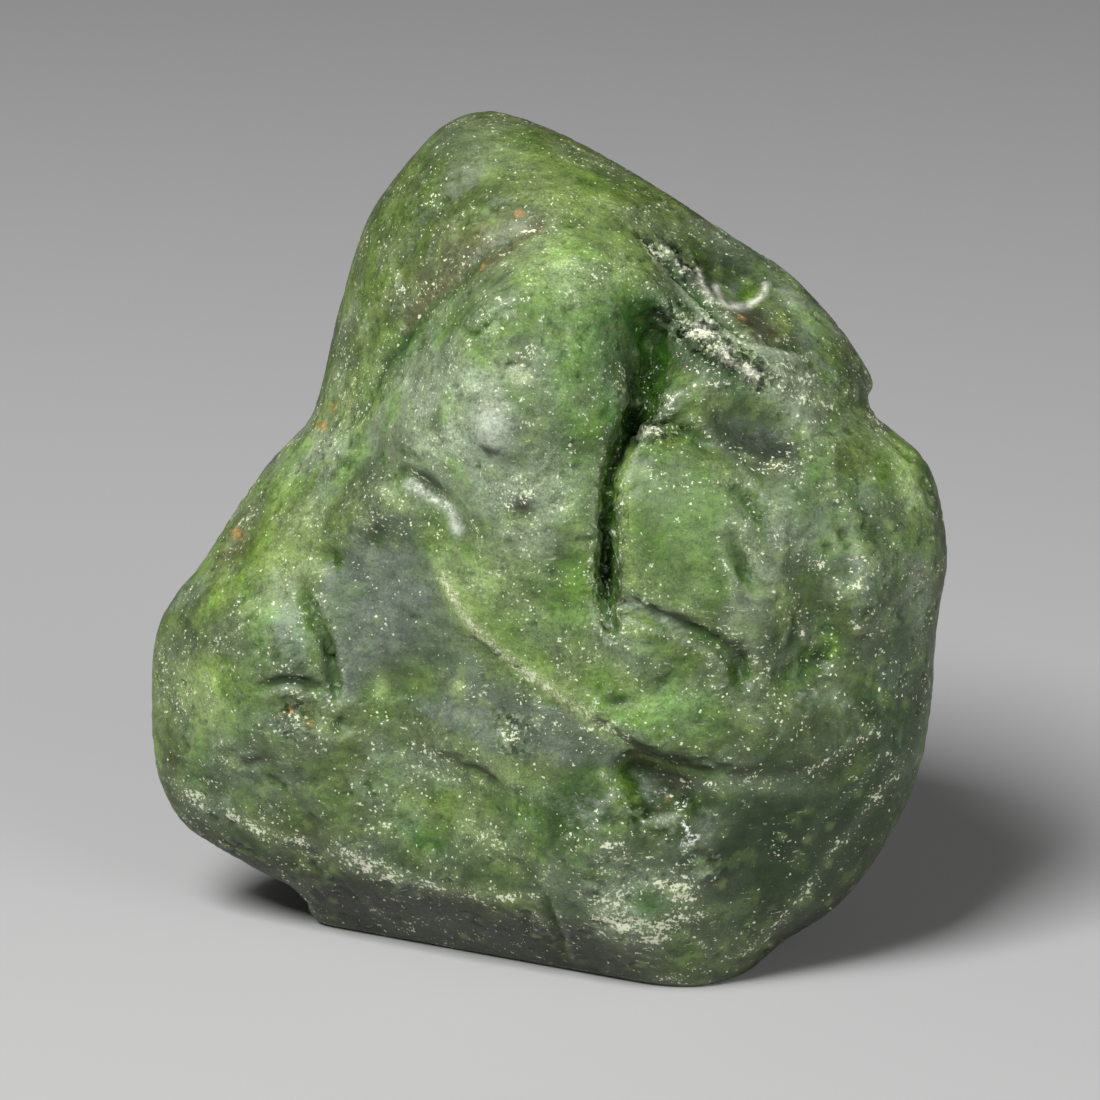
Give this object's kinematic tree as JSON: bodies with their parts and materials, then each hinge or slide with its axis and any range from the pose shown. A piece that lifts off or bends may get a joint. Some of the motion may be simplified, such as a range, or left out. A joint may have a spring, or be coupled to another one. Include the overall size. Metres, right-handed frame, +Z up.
{
  "type": "raw chrome diopside stone",
  "caption": "Water-worn lump of green gem rough with a deep cleft, ledges, hollows and pits, standing on a small flat worn face.",
  "frame": {"origin": "middle of the stone's outer box, on the surface that it stands on", "axes": "+Z up from the resting face, -Y out of the display face with the cleft, +X to the right of that face"},
  "size_m": [0.0278, 0.0188, 0.0281],
  "materials": {
    "diopside": "waxy satin worn skin, glossy in the fresh hollows, mottled yellow-green to grey-green, nearly black in the clefts"
  },
  "bodies": {
    "root": {"diopside_pebble": "diopside"}
  },
  "joints": []
}
